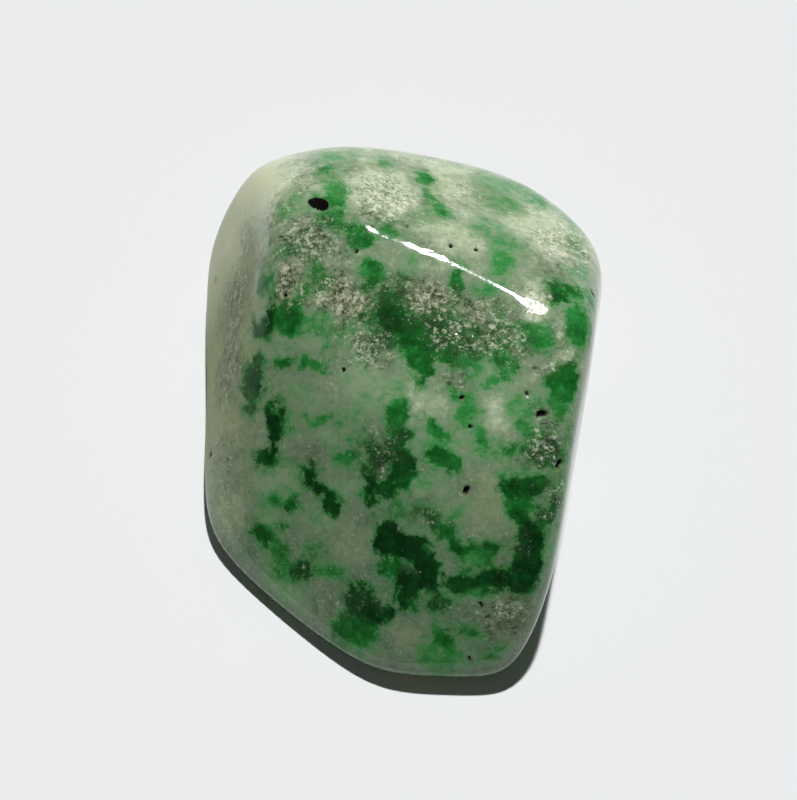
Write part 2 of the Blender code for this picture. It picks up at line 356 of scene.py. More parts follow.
# The green grains: each is a lump of green mineral grown in the pale rock. A row gives where its
# middle shows in the picture, its length and width, its turn clockwise from level, its tone from
# 0, pale sage, to 1, near black, and how soft its edge is.
GREENS = {
    "column beside the deep pit": (
        (335, 156, 1.4, 0.6, 0, 0.35, 0.4),
        (322, 168, 0.9, 0.7, 110, 0.5, 0.3),
        (341, 168, 1.0, 0.9, 0, 0.08, 0.8),
        (335, 192, 2.1, 1.1, 85, 0.42, 0.3),
        (331, 219, 1.2, 1.0, 0, 0.55, 0.3),
        (350, 226, 0.6, 0.5, 0, 0.6, 0.2),
        (359, 236, 1.3, 1.2, 60, 0.6, 0.2),
        (388, 231, 0.9, 0.7, 0, 0.4, 0.5),
        (312, 201, 0.5, 0.5, 0, 0.6, 0.5),
    ),
    "olive grains on the left shoulder": (
        (295, 195, 0.6, 0.5, 90, 0.35, 0.6),
        (285, 212, 0.6, 0.5, 0, 0.4, 0.6),
        (303, 204, 1.4, 0.7, 0, 0.10, 1.0),
        (288, 249, 0.7, 0.5, 0, 0.55, 0.4),
        (385, 162, 1.0, 0.6, 60, 0.28, 0.5),
    ),
    "left of the ridge": (
        (264, 283, 1.3, 0.75, 80, 0.65, 0.4),
        (315, 273, 1.1, 0.55, 90, 0.6, 0.3),
        (325, 278, 0.7, 0.6, 0, 0.6, 0.3),
        (306, 291, 0.8, 0.5, -20, 0.65, 0.3),
        (371, 273, 1.3, 1.1, 90, 0.55, 0.3),
        (368, 288, 0.8, 0.7, 120, 0.6, 0.3),
        (287, 319, 1.8, 1.7, 20, 0.66, 0.3),
        (303, 326, 1.4, 0.7, 0, 0.45, 0.6),
        (270, 317, 1.2, 0.6, 100, 0.98, 0.3),
        (259, 330, 0.9, 0.8, 0, 0.82, 0.3),
        (292, 333, 1.2, 0.4, 0, 0.4, 0.5),
        (322, 323, 1.2, 1.0, 90, 0.25, 0.6),
        (348, 332, 0.6, 0.6, 0, 0.35, 0.5),
        (345, 344, 0.7, 0.6, 0, 0.12, 0.9),
        (323, 346, 0.7, 0.35, 90, 0.42, 0.4),
        (365, 318, 0.9, 0.7, 0, 0.75, 0.3),
    ),
    "top of the rear facet": (
        (425, 179, 1.0, 0.9, 90, 0.4, 0.3),
        (429, 196, 0.8, 0.6, 60, 0.42, 0.3),
        (438, 209, 1.2, 0.9, 60, 0.42, 0.3),
        (424, 215, 0.9, 0.5, 0, 0.2, 0.7),
        (512, 187, 1.9, 0.8, 18, 0.3, 0.7),
        (538, 198, 1.2, 0.7, 25, 0.42, 0.4),
        (505, 204, 1.6, 1.1, 0, 0.2, 1.0),
        (487, 190, 1.8, 1.2, 90, 0.12, 1.0),
    ),
    "emerald of the rear facet": (
        (501, 243, 1.6, 1.2, 90, 0.24, 0.8),
        (501, 264, 1.8, 0.95, 100, 0.34, 0.7),
        (488, 228, 1.4, 1.1, 0, 0.2, 1.0),
        (513, 247, 1.0, 0.9, 90, 0.18, 1.0),
        (577, 246, 1.5, 0.8, 95, 0.5, 0.6),
        (574, 226, 0.9, 0.35, 50, 0.4, 0.6),
        (578, 270, 1.2, 0.9, 0, 0.3, 0.9),
    ),
    "right end of the ridge": (
        (556, 293, 1.3, 0.85, 95, 0.78, 0.2),
        (550, 286, 0.7, 0.5, 0, 0.7, 0.3),
        (573, 292, 0.9, 0.45, 25, 0.6, 0.3),
        (592, 302, 1.1, 0.8, 70, 0.55, 0.3),
        (579, 326, 1.9, 1.2, 95, 0.5, 0.3),
        (538, 337, 1.6, 1.5, 20, 0.42, 0.3),
        (519, 327, 1.1, 0.45, 5, 0.62, 0.3),
        (487, 290, 0.9, 0.7, 30, 0.34, 0.4),
        (457, 283, 1.4, 0.65, 95, 0.6, 0.4),
        (409, 262, 1.4, 0.7, 90, 0.12, 0.8),
    ),
    "deep mass before the ridge": (
        (402, 289, 1.0, 0.55, 95, 0.9, 0.2),
        (393, 317, 1.9, 1.6, 80, 0.9, 0.2),
        (377, 333, 0.9, 0.6, 0, 0.75, 0.3),
        (398, 340, 2.2, 0.9, 0, 0.82, 0.3),
        (440, 322, 2.0, 1.1, 10, 0.85, 0.3),
        (422, 334, 3.0, 1.6, 10, 0.76, 0.4),
        (412, 356, 1.3, 1.0, 90, 0.6, 0.4),
        (445, 354, 1.5, 1.1, 20, 0.64, 0.4),
        (466, 366, 1.2, 0.7, 30, 0.5, 0.5),
        (392, 298, 0.9, 1.3, 0, 0.72, 0.4),
        (428, 342, 1.6, 0.9, 0, 0.8, 0.3),
        (462, 343, 1.3, 0.8, 0, 0.75, 0.3),
        (458, 328, 1.3, 0.8, 20, 0.72, 0.4),
        (478, 333, 0.8, 0.6, 0, 0.7, 0.4),
        (424, 362, 1.9, 0.9, 95, 0.7, 0.3),
        (495, 319, 0.6, 0.5, 90, 0.55, 0.3),
        (505, 344, 0.8, 0.6, 0, 0.6, 0.3),
        (478, 355, 1.4, 0.6, 0, 0.6, 0.3),
        (502, 359, 1.1, 0.9, 60, 0.56, 0.3),
        (504, 371, 0.7, 0.5, 110, 0.55, 0.4),
        (485, 370, 1.2, 0.8, 0, 0.12, 0.9),
        (490, 383, 1.0, 0.6, 0, 0.36, 0.6),
    ),
    "left middle": (
        (257, 362, 0.8, 0.5, 90, 0.8, 0.3),
        (252, 386, 2.0, 1.0, 95, 0.8, 0.3),
        (249, 408, 0.9, 0.6, 95, 0.7, 0.4),
        (308, 364, 1.5, 0.7, 5, 0.45, 0.3),
        (282, 360, 0.9, 0.7, 0, 0.6, 0.3),
        (288, 345, 2.6, 0.9, 0, 0.06, 1.0),
        (276, 423, 1.8, 0.85, 95, 0.95, 0.2),
        (273, 447, 1.2, 0.5, 95, 0.95, 0.2),
        (263, 458, 1.3, 0.6, 10, 0.8, 0.3),
        (318, 421, 1.5, 0.5, -3, 0.42, 0.5),
        (288, 424, 0.9, 0.5, 90, 0.36, 0.6),
        (328, 437, 0.9, 0.7, 0, 0.14, 0.9),
        (311, 476, 1.5, 0.7, 80, 0.86, 0.3),
        (321, 492, 1.5, 0.65, 25, 0.92, 0.3),
        (330, 505, 0.9, 0.8, 60, 0.9, 0.3),
        (270, 477, 0.5, 0.5, 0, 0.62, 0.5),
        (273, 500, 0.7, 0.6, 30, 0.66, 0.4),
        (291, 504, 0.9, 0.7, 70, 0.72, 0.4),
        (277, 484, 2.2, 1.8, 0, 0.08, 1.0),
    ),
    "middle": (
        (386, 391, 0.7, 0.5, 90, 0.34, 0.6),
        (362, 380, 2.4, 1.6, 90, 0.05, 1.0),
        (300, 395, 1.6, 0.8, 20, 0.10, 1.0),
        (352, 415, 1.2, 0.7, 60, 0.16, 0.9),
        (345, 490, 1.4, 0.6, 0, 0.12, 1.0),
        (425, 485, 1.4, 0.7, 0, 0.14, 1.0),
        (455, 515, 1.2, 0.5, -20, 0.25, 0.8),
        (318, 520, 1.3, 0.8, 0, 0.12, 1.0),
        (380, 392, 1.7, 1.3, 0, 0.06, 1.0),
        (396, 417, 1.8, 1.1, 85, 0.6, 0.3),
        (401, 438, 1.4, 0.9, 80, 0.8, 0.3),
        (376, 455, 1.4, 0.9, 15, 0.95, 0.2),
        (399, 451, 1.0, 0.7, 0, 0.92, 0.3),
        (370, 473, 1.0, 0.6, 80, 0.92, 0.3),
        (402, 473, 1.8, 1.3, 70, 0.86, 0.3),
        (386, 487, 1.3, 0.9, 0, 0.82, 0.3),
        (371, 496, 1.1, 0.65, 80, 0.82, 0.3),
        (346, 458, 1.0, 0.8, 0, 0.5, 0.7),
        (355, 438, 0.6, 0.4, 0, 0.4, 0.6),
        (436, 430, 1.3, 0.8, 40, 0.56, 0.4),
        (437, 444, 1.4, 0.5, 0, 0.2, 0.8),
        (442, 459, 1.35, 1.0, 20, 0.7, 0.3),
        (458, 396, 0.8, 0.5, 10, 0.58, 0.4),
        (466, 414, 1.9, 0.9, 70, 0.34, 0.7),
        (482, 437, 1.3, 0.6, 55, 0.52, 0.4),
        (508, 446, 1.7, 0.5, -8, 0.52, 0.4),
        (483, 453, 0.7, 0.5, 0, 0.36, 0.6),
    ),
    "right flank": (
        (563, 382, 1.7, 1.4, 110, 0.66, 0.3),
        (559, 411, 1.0, 0.8, 90, 0.45, 0.7),
        (524, 407, 1.3, 1.0, 0, 0.3, 0.9),
        (525, 429, 0.9, 0.6, 40, 0.42, 0.5),
        (542, 451, 1.8, 1.4, 10, 0.86, 0.3),
        (563, 453, 1.3, 0.35, 110, 0.7, 0.4),
        (515, 473, 0.9, 0.5, 0, 0.6, 0.4),
        (512, 488, 1.0, 0.9, 0, 0.8, 0.3),
        (535, 486, 1.5, 1.0, -20, 0.82, 0.3),
        (521, 508, 1.4, 1.2, 90, 0.66, 0.3),
        (556, 506, 1.1, 0.8, 110, 0.82, 0.3),
        (546, 520, 1.0, 0.8, 0, 0.75, 0.3),
        (529, 537, 1.5, 1.2, 100, 0.95, 0.2),
        (526, 561, 1.6, 1.3, 95, 0.92, 0.2),
        (522, 582, 1.3, 1.1, 0, 0.9, 0.3),
        (552, 549, 1.3, 0.6, 110, 0.3, 0.9),
        (567, 485, 1.2, 0.55, 100, 0.4, 0.8),
    ),
    "lower left": (
        (265, 533, 1.3, 1.1, 20, 0.76, 0.3),
        (284, 527, 0.5, 0.45, 0, 0.62, 0.4),
        (278, 552, 1.6, 0.75, 75, 0.5, 0.4),
        (284, 567, 0.8, 0.7, 60, 0.46, 0.4),
        (283, 576, 0.9, 0.5, 20, 0.56, 0.5),
        (300, 569, 1.2, 0.95, -10, 0.9, 0.3),
        (324, 570, 1.4, 0.6, 5, 0.46, 0.4),
        (338, 571, 0.6, 0.45, 0, 0.52, 0.4),
        (313, 549, 0.8, 0.5, 0, 0.5, 0.6),
        (285, 592, 1.9, 1.3, 45, 0.16, 1.0),
        (268, 508, 1.5, 0.8, 90, 0.22, 0.9),
    ),
    "lower middle": (
        (388, 540, 1.7, 1.5, 60, 0.98, 0.2),
        (406, 547, 1.8, 1.1, 15, 0.98, 0.2),
        (422, 562, 1.9, 1.05, 80, 0.92, 0.3),
        (411, 583, 1.5, 1.15, 100, 1.0, 0.2),
        (406, 603, 1.1, 0.9, 90, 0.82, 0.3),
        (391, 568, 1.1, 0.9, 0, 0.68, 0.4),
        (432, 583, 0.9, 0.6, 80, 0.85, 0.3),
        (432, 517, 0.9, 0.55, 20, 0.76, 0.3),
        (416, 511, 1.5, 0.5, -12, 0.66, 0.6),
        (441, 529, 0.9, 0.6, 60, 0.7, 0.5),
        (398, 507, 0.8, 0.4, 20, 0.5, 0.6),
        (354, 592, 1.0, 0.6, 95, 0.95, 0.2),
        (363, 606, 1.7, 1.4, 20, 0.96, 0.2),
        (385, 613, 1.2, 0.8, 20, 0.82, 0.3),
        (372, 591, 0.6, 0.5, 0, 0.72, 0.4),
        (352, 631, 2.3, 1.4, -20, 0.6, 0.4),
        (369, 629, 0.9, 0.7, 0, 0.76, 0.4),
        (354, 648, 1.3, 0.6, 25, 0.34, 0.9),
        (450, 537, 0.7, 0.6, 30, 0.62, 0.4),
        (464, 548, 1.2, 0.7, 15, 0.82, 0.3),
        (475, 558, 0.9, 0.8, 0, 0.4, 0.4),
        (488, 563, 0.9, 0.55, 95, 0.55, 0.5),
        (494, 549, 0.8, 0.6, 0, 0.82, 0.4),
        (462, 567, 0.55, 0.35, 50, 0.72, 0.3),
        (457, 585, 1.1, 0.75, -5, 0.9, 0.3),
        (484, 581, 2.1, 0.85, -5, 0.9, 0.3),
        (482, 593, 1.5, 0.5, 0, 0.7, 0.3),
        (476, 601, 1.8, 0.3, 8, 0.16, 0.7),
        (437, 603, 0.95, 0.9, 60, 0.76, 0.4),
        (444, 650, 2.1, 0.95, 95, 0.62, 0.4),
        (440, 656, 2.3, 1.6, 0, 0.3, 1.0),
        (440, 628, 0.8, 0.6, 60, 0.5, 0.5),
        (470, 632, 0.85, 0.6, 0, 0.5, 0.6),
        (493, 654, 0.9, 0.45, -20, 0.5, 0.7),
    ),
}

# Stretches where the rock is a loose mosaic of grains: where each shows in the picture, its
# width, height and turn, how grainy it is and how brown.
GRAINY = {
    "left shoulder": (
        (310, 240, 4.4, 3.4, 20, 1.0, 0.1),
        (275, 205, 3.8, 4.2, 0, 0.6, 0.7),
        (330, 235, 3.0, 2.6, 30, 0.7, 0.3),
        (300, 168, 3.6, 2.0, -20, 0.7, 0.6),
        (287, 282, 1.9, 3.2, 0, 1.0, 0.8),
        (303, 180, 2.6, 2.6, 0, 0.7, 0.6),
        (288, 200, 1.2, 1.6, 0, 0.7, 0.6),
        (262, 262, 2.0, 1.2, 0, 0.6, 0.2),
        (243, 215, 1.8, 1.8, 0, 0.4, 0.5),
    ),
    "left flank": (
        (245, 238, 2.2, 3.4, 10, 0.7, 0.4),
        (234, 305, 3.0, 6.4, 3, 0.8, 0.5),
        (228, 370, 2.6, 5.6, 2, 0.8, 0.4),
        (226, 460, 2.4, 4.6, 0, 0.6, 0.5),
    ),
    "behind the ridge": (
        (385, 198, 5.0, 4.4, 0, 1.0, 0.3),
        (350, 175, 3.4, 2.4, 0, 0.7, 0.2),
        (500, 215, 4.0, 3.0, 25, 0.45, 0.3),
        (462, 195, 3.4, 3.6, 0, 0.7, 0.5),
        (562, 245, 4.4, 4.6, 20, 0.95, 0.6),
        (555, 275, 2.4, 2.4, 0, 0.6, 0.4),
        (400, 160, 3.0, 0.9, 5, 0.6, 0.4),
        (425, 245, 4.0, 1.2, 25, 0.35, 0.5),
    ),
    "before the ridge": (
        (348, 300, 4.6, 2.4, 0, 0.95, 0.75),
        (430, 297, 4.2, 2.4, 0, 1.0, 0.6),
        (490, 315, 4.2, 2.6, 20, 0.75, 0.5),
        (368, 345, 3.0, 2.6, 30, 0.95, 0.45),
        (450, 337, 3.4, 1.8, 0, 0.9, 0.4),
        (482, 340, 2.4, 2.2, 0, 0.9, 0.6),
        (458, 375, 2.0, 2.4, 0, 0.7, 0.3),
        (330, 290, 4.0, 3.4, 0, 0.9, 0.6),
        (405, 285, 3.4, 2.4, 0, 0.8, 0.7),
        (450, 312, 6.4, 3.6, 12, 0.75, 0.4),
        (495, 335, 3.6, 3.0, 0, 0.9, 0.4),
        (350, 330, 3.6, 3.0, 0, 0.7, 0.4),
        (520, 345, 1.4, 2.0, 0, 0.8, 0.5),
        (390, 360, 1.2, 1.2, 0, 0.8, 0.4),
        (500, 362, 2.2, 1.4, 0, 0.5, 0.2),
    ),
    "right flank": (
        (553, 362, 2.8, 1.6, -25, 0.9, 0.0),
        (561, 335, 1.0, 2.2, 0, 0.8, 0.1),
        # The row at (534, 302) is loose grain, and with the whitest cloud there it paints white flecks as
        # part of a painted highlight: the glint's bright broken patch
        (534, 302, 1.8, 2.2, 25, 1.0, 0.0),
        (542, 448, 2.6, 2.3, 0, 0.95, 0.2),
        (541, 414, 1.4, 1.0, 0, 0.8, 0.6),
        (546, 520, 1.2, 1.4, 0, 0.8, 0.1),
        (513, 547, 1.5, 1.5, 0, 0.6, 0.1),
        (506, 615, 3.4, 2.8, -30, 0.8, 0.8),
        (500, 630, 3.0, 2.2, 0, 0.4, 0.4),
        (555, 490, 2.2, 4.4, 10, 0.65, 0.3),
        (548, 425, 2.2, 2.4, 0, 0.65, 0.4),
    ),
    "front": (
        (312, 452, 2.0, 1.8, 0, 0.75, 0.7),
        (300, 560, 5.0, 3.6, 20, 0.42, 0.1),
        (430, 515, 3.0, 1.8, 0, 0.7, 0.1),
        (345, 600, 3.0, 3.0, 0, 0.5, 0.2),
        (450, 610, 4.0, 2.6, 0, 0.4, 0.3),
        (380, 445, 3.4, 2.6, 0, 0.6, 0.1),
        (377, 470, 1.1, 1.1, 0, 0.85, 0.2),
        (409, 567, 0.9, 0.8, 0, 0.8, 0.1),
        (378, 603, 0.6, 1.6, -20, 0.7, 0.3),
        (390, 510, 2.6, 1.6, 0, 0.4, 0.2),
        (467, 490, 1.2, 1.2, 0, 0.5, 0.5),
        (248, 440, 1.4, 6.0, 0, 0.4, 0.5),
        (250, 530, 1.0, 2.6, 0, 0.4, 0.4),
        (440, 520, 2.4, 1.4, 0, 0.3, 0.2),
    ),
}

# Clouds in the pale rock: where each shows in the picture, its width, height and turn, how much
# whiter than the rest it is, and how much yellower.
CLOUDS = {
    "rear": (
        (352, 187, 2.2, 2.4, 0, 0.8, 0.1),
        (388, 190, 3.0, 3.0, 0, 1.3, 0.0),
        (450, 185, 3.0, 2.2, 0, 0.5, 0.3),
        (526, 225, 3.6, 3.0, 20, 0.45, 0.2),
        (460, 240, 3.2, 2.2, 20, 0.45, 0.2),
        (560, 240, 4.0, 4.0, 20, 0.65, 0.3),
        (432, 265, 1.8, 1.5, 0, 0.3, 0.0),
        (258, 188, 4.4, 4.4, 0, 0.6, 0.9),
        (235, 245, 2.2, 4.0, 0, 0.2, 0.6),
    ),
    "front": (
        (346, 272, 2.0, 2.2, 0, 0.1, 0.0),
        (497, 412, 2.2, 3.4, 0, 0.8, 0.1),
        (420, 402, 3.0, 2.2, 10, 0.7, 0.1),
        (556, 362, 2.6, 1.5, -25, 0.9, 0.0),
        (562, 335, 0.8, 2.0, 0, 0.6, 0.0),
        # The row at (535, 303) is a painted highlight: the glint's bright broken patch at the right end of
        # the ridge
        (535, 303, 1.6, 2.0, 25, 1.5, 0.0),
        (467, 448, 1.2, 1.8, 0, 0.3, 0.2),
        (350, 390, 4.0, 3.6, 0, 0.25, 0.1),
        (300, 400, 3.0, 3.4, 0, 0.0, 0.3),
        (225, 440, 1.6, 7.0, 0, 0.45, 0.4),
        (228, 510, 2.0, 3.0, 0, 0.5, 0.5),
        (340, 535, 3.8, 3.4, 0, 0.2, 0.35),
        (485, 505, 2.6, 3.4, 0, 0.25, 0.45),
        (320, 610, 2.6, 2.2, 0, 0.2, 0.2),
        (410, 635, 2.6, 2.6, 0, 0.25, 0.3),
        (440, 560, 1.2, 2.2, 0, 0.2, 0.1),
    ),
}


def gathered(groups):
    """The rows of every group of a table, as one array."""
    return np.array([row for rows in groups.values() for row in rows], float)


def lump_fields(points, rows, fullness=1.0):
    """For each row, how far inside its lump each point lies, in mm: one row's field at a time.

    A lump is an ellipsoid whose sides show in the picture as the row says, times fullness, and
    which runs into the rock, away from the eye, twice as deep as its longer side. The field is
    (1 - how many times its ellipsoid's size a point lies from its middle) x half its shorter side.
    """
    middles = behind_pixels(rows[:, :2])
    turns = np.radians(rows[:, 4])
    for middle, turned, (length, width) in zip(middles, turns, rows[:, 2:4] * fullness):
        off = points - middle
        lengthwise = off @ (math.cos(turned) * right - math.sin(turned) * upward)
        widthwise = off @ (-math.sin(turned) * right - math.cos(turned) * upward)
        deep = off @ backward
        sides = (2 * lengthwise / length) ** 2 + (2 * widthwise / width) ** 2
        scaled = np.sqrt(sides + (deep / max(length, width)) ** 2)
        yield (1 - scaled) * min(length, width) / 2


# How sharply the looks of one lump give way to the next one's, and a sum that is as good as none
HANDOVER = 9
AS_GOOD_AS_NONE = 1e-9


def weight_of(inside):
    """How much a lump's looks count at points: e^(9 x how far inside it they lie, in mm)."""
    return np.exp(np.clip(inside * HANDOVER, -30, 12))


def blended(points, rows, values):
    """Values of the rows mixed at each point by the weight that each row's lump has there."""
    total = np.full(len(points), AS_GOOD_AS_NONE)
    mixed = np.zeros((len(points), values.shape[1]))
    for inside, value in zip(lump_fields(points, rows), values):
        weight = weight_of(inside)
        total += weight
        mixed += weight[:, None] * value
    return mixed / total[:, None]


def soft_zones(points, rows, values):
    """The strongest zone at each point: one is full at its middle and fades out well past its rim.

    From 0.25 to 1.55 of the way from a zone's middle to its rim, its values sink by an even S.
    """
    strongest = np.zeros((len(points), values.shape[1]))
    for inside, value, row in zip(lump_fields(points, rows), values, rows):
        strength = eased(-0.55, 0.75, inside / (min(row[2], row[3]) / 2))
        strongest = np.maximum(strongest, strength[:, None] * value)
    return strongest


# The side away from the eye has lumps of the same kinds, strewn with a fixed seed wherever the
# surface faces far enough away from it: the cosine to the eye is below this.
HIDDEN_GREENS = 210
SPOTS_TRIED = 600
FACING_AWAY = 0.18
STREWN_SIDES = np.array((1.7, 1.0, 1.2))
STREWN_TONES = (0.15, 0.4, 0.6, 0.8, 0.95)

# A point counts as at most this far outside a lump, in mm
FAR_OUTSIDE = -2.0


def strewn_lumps(points):
    """How far inside a strewn lump each point lies, with that lump's tone and softness mixed in."""
    rng = np.random.default_rng(SEED + 1)
    heading = rng.normal(size=(SPOTS_TRIED, 3))
    heading /= np.linalg.norm(heading, axis=1, keepdims=True)
    away = surface_facing(heading) @ backward < FACING_AWAY
    heading = heading[away][:HIDDEN_GREENS]
    middles = heading * surface_distance(heading)[:, None]
    inside = np.full(len(points), FAR_OUTSIDE)
    total = np.full(len(points), AS_GOOD_AS_NONE)
    mixed = np.zeros((len(points), 2))
    for middle in middles:
        turned, _ = np.linalg.qr(rng.normal(size=(3, 3)))
        half_sizes = 0.5 * STREWN_SIDES * rng.uniform(0.5, 1.6)
        scaled = np.linalg.norm((points - middle) @ turned / half_sizes, axis=1)
        depth = (1 - scaled) * half_sizes.min()
        inside = np.maximum(inside, depth)
        weight = weight_of(depth)
        total += weight
        mixed += weight[:, None] * (rng.choice(STREWN_TONES), rng.uniform(0.2, 0.9))
    return inside, mixed / total[:, None]


# Lumps that lie nearer to each other than about this many mm run together, and each is this much
# larger than the dense middle that its row gives.
MERGING = 0.12
FULLNESS = 1.3

# The green: how far inside the lumps each point lies, once it has been pushed to a ragged place
greens = gathered(GREENS)
ragged = warped(bare, reach=0.50, cell=1.3, layer=1)
ragged = warped(ragged, reach=0.16, cell=0.40, layer=40)
overlap = np.full(len(bare), math.exp(FAR_OUTSIDE / MERGING))
for inside in lump_fields(ragged, greens, FULLNESS):
    overlap += np.exp(np.maximum(inside, FAR_OUTSIDE) / MERGING)
green = MERGING * np.log(overlap)
tone, softness = blended(ragged, greens, greens[:, 5:7]).T

# The strewn lumps take over where the surface turns away from the eye
faces_away = 1 - eased(0.08, 0.28, normals @ backward)
strewn, strewn_looks = strewn_lumps(ragged)
strewn_share = eased(-0.6, 0.0, strewn - green) * faces_away
green = np.maximum(green, strewn - 0.6 * (1 - faces_away))
tone = tone + (strewn_looks[:, 0] - tone) * strewn_share
softness = softness + (strewn_looks[:, 1] - softness) * strewn_share


def hidden_patches(strength, low, high, cell, layer):
    """Patches out of the eye's sight, rising to a strength as noise goes from low to high."""
    return faces_away * strength * eased(low, high, layered(bare, cell, layer))


# Loose stretches and clouds: from their tables where the eye sees the rock, and from noise beyond
grainy = gathered(GRAINY)
clouds = gathered(CLOUDS)
loose = warped(bare, reach=0.7, cell=1.6, layer=80)
grain_looks = np.stack((grainy[:, 5], grainy[:, 5] * grainy[:, 6]), axis=-1)
grain, grain_brown = soft_zones(loose, grainy, grain_looks).T
white_and_painted_light, yellow = soft_zones(loose, clouds, clouds[:, 5:7]).T
grain = np.maximum(grain, hidden_patches(1.0, 0.05, 0.45, cell=5.0, layer=100))
grain_brown = np.maximum(grain_brown, hidden_patches(0.6, 0.1, 0.5, cell=4.0, layer=110))
white_and_painted_light = np.maximum(white_and_painted_light, hidden_patches(1.0, 0.0, 0.5, cell=4.5, layer=120))
yellow = np.maximum(yellow, hidden_patches(1.0, 0.0, 0.5, cell=6.0, layer=130))

# Painted shade and light: the pale rock is painted greyer towards the nose, at -Y, which turns from the
# lamp, and whiter towards the back, which faces it
depth_in_picture = bare[:, 1]
painted_shade_towards_nose = eased(2.0, -13.0, depth_in_picture)
painted_light_towards_back = eased(2.5, 7.5, depth_in_picture)
white_and_painted_light = white_and_painted_light - 0.75 * painted_shade_towards_nose + 0.45 * painted_light_towards_back

# The left flank is yellower and less polished. It fades out towards the nose, and round the back
# it keeps farther to the left.
round_the_back = 0.3 * depth_in_picture * (depth_in_picture > 4) * faces_away
left_flank = eased(-6.6, -8.6, loose[:, 0] + round_the_back) * eased(-9.0, 0.0, depth_in_picture)
yellow = np.maximum(yellow, 0.9 * left_flank * (1 - 0.7 * faces_away))
dull = left_flank * (1 - 0.5 * eased(5.0, 11.0, depth_in_picture))


# The stone's mesh: the grid on the form, with its pits sunk and its loose grains a hair uneven.
# Each of its corners carries the looks of the rock there as named numbers.
GRAIN_RELIEF = 0.02

relief = GRAIN_RELIEF * grain * layered(bare, cell=0.35, layer=150, octaves=2)
distance = surface_distance(directions) - pit_depth + relief
points = (directions * distance[:, None] + heart) * MM
points[:, 2] = np.maximum(points[:, 2], 0)

mesh = bpy.data.meshes.new("stone_surface")
corners = np.concatenate((quads.ravel(), caps.ravel()))
starts = np.concatenate((4 * np.arange(len(quads)), 4 * len(quads) + 3 * np.arange(len(caps))))
mesh.vertices.add(len(points))
mesh.vertices.foreach_set("co", points.ravel())
mesh.loops.add(len(corners))
mesh.loops.foreach_set("vertex_index", corners)
mesh.polygons.add(len(starts))
mesh.polygons.foreach_set("loop_start", starts)
mesh.update(calc_edges=True)
mesh.validate()
mesh.shade_smooth()
looks = {
    "green": green,
    "tone": tone,
    "softness": softness,
    "grain": grain,
    "grain_brown": grain_brown,
    # The whiteness carries painted light and shade as well as the rock's clouds
    "white_and_painted_light": white_and_painted_light,
    "yellow": yellow,
    "pit": pit_inside,
    "dull": dull,
}
for name, values in looks.items():
    mesh.attributes.new(name, "FLOAT", "POINT").data.foreach_set("value", values.astype(np.float32))


# The rock: quartz, whitish to grey green, with green grains through it, polished where it is
# dense and rougher where it is a loose mosaic of grains.
rock = bpy.data.materials.new("green_and_white_rock")
rock.use_nodes = True
nodes = rock.node_tree.nodes
links = rock.node_tree.links
shader = nodes["Principled BSDF"]


def add(kind, inputs, **settings):
    """A node with its settings made, and its inputs set or linked."""
    made = nodes.new(kind)
    for name, value in settings.items():
        setattr(made, name, value)
    for key, value in inputs.items():
        if isinstance(value, bpy.types.NodeSocket):
            links.new(value, made.inputs[key])
        else:
            made.inputs[key].default_value = value
    return made


def attribute(name):
    """One of the looks that the mesh carries."""
    return add("ShaderNodeAttribute", {}, attribute_name=name, attribute_type="GEOMETRY").outputs["Fac"]


def math_of(operation, *values):
    """A sum on values. A multiply-add is the first x the second + the third."""
    return add("ShaderNodeMath", dict(enumerate(values)), operation=operation).outputs[0]


def between(value, low, high, to_low=0.0, to_high=1.0):
    """The value mapped from one range to another by an even S, and held at its ends."""
    span = {"Value": value, "From Min": low, "From Max": high, "To Min": to_low, "To Max": to_high}
    return add("ShaderNodeMapRange", span, interpolation_type="SMOOTHSTEP").outputs["Result"]


def mixed_colour(amount, one, other):
    """One colour where the amount is 0, the other where it is 1, and a mixture in between."""
    made = add("ShaderNodeMix", {"Factor": amount}, data_type="RGBA")
    for key, value in (("A", one), ("B", other)):
        socket = next(s for s in made.inputs if s.name == key and s.type == "RGBA")
        if isinstance(value, bpy.types.NodeSocket):
            links.new(value, socket)
        else:
            socket.default_value = (*value, 1.0)
    return next(s for s in made.outputs if s.type == "RGBA")


def ramp(value, *stops):
    """A colour that passes through the stops, each a place from 0 to 1 and a colour, with a value."""
    made = add("ShaderNodeValToRGB", {"Fac": value})
    elements = made.color_ramp.elements
    while len(elements) < len(stops):
        elements.new(0.5)
    for element, (position, colour) in zip(elements, stops):
        element.position = position
        element.color = (*colour, 1.0)
    return made.outputs["Color"]


place = nodes.new("ShaderNodeTexCoord").outputs["Object"]


def shifted(offset):
    """The place in the stone moved by an offset in metres, so that two patterns don't match."""
    return add("ShaderNodeVectorMath", {0: place, 1: (offset, offset, offset)}, operation="ADD").outputs[0]


def cloud_noise(size, detail, roughness, offset=0.0):
    """Fractal noise with features of a size in mm, less its mean, so about -0.35 to 0.35."""
    texture = {"Vector": shifted(offset), "Scale": 1 / (size * MM), "Detail": detail, "Roughness": roughness}
    return math_of("SUBTRACT", add("ShaderNodeTexNoise", texture).outputs[0], 0.5)


def crystals(size, offset=0.0):
    """Cells of a size in mm: each one's random number, and how far from its middle a point is."""
    cells = add("ShaderNodeTexVoronoi", {"Vector": shifted(offset), "Scale": 1 / (size * MM)})
    number = add("ShaderNodeSeparateColor", {"Color": cells.outputs["Color"]}).outputs[0]
    return number, cells.outputs["Distance"]


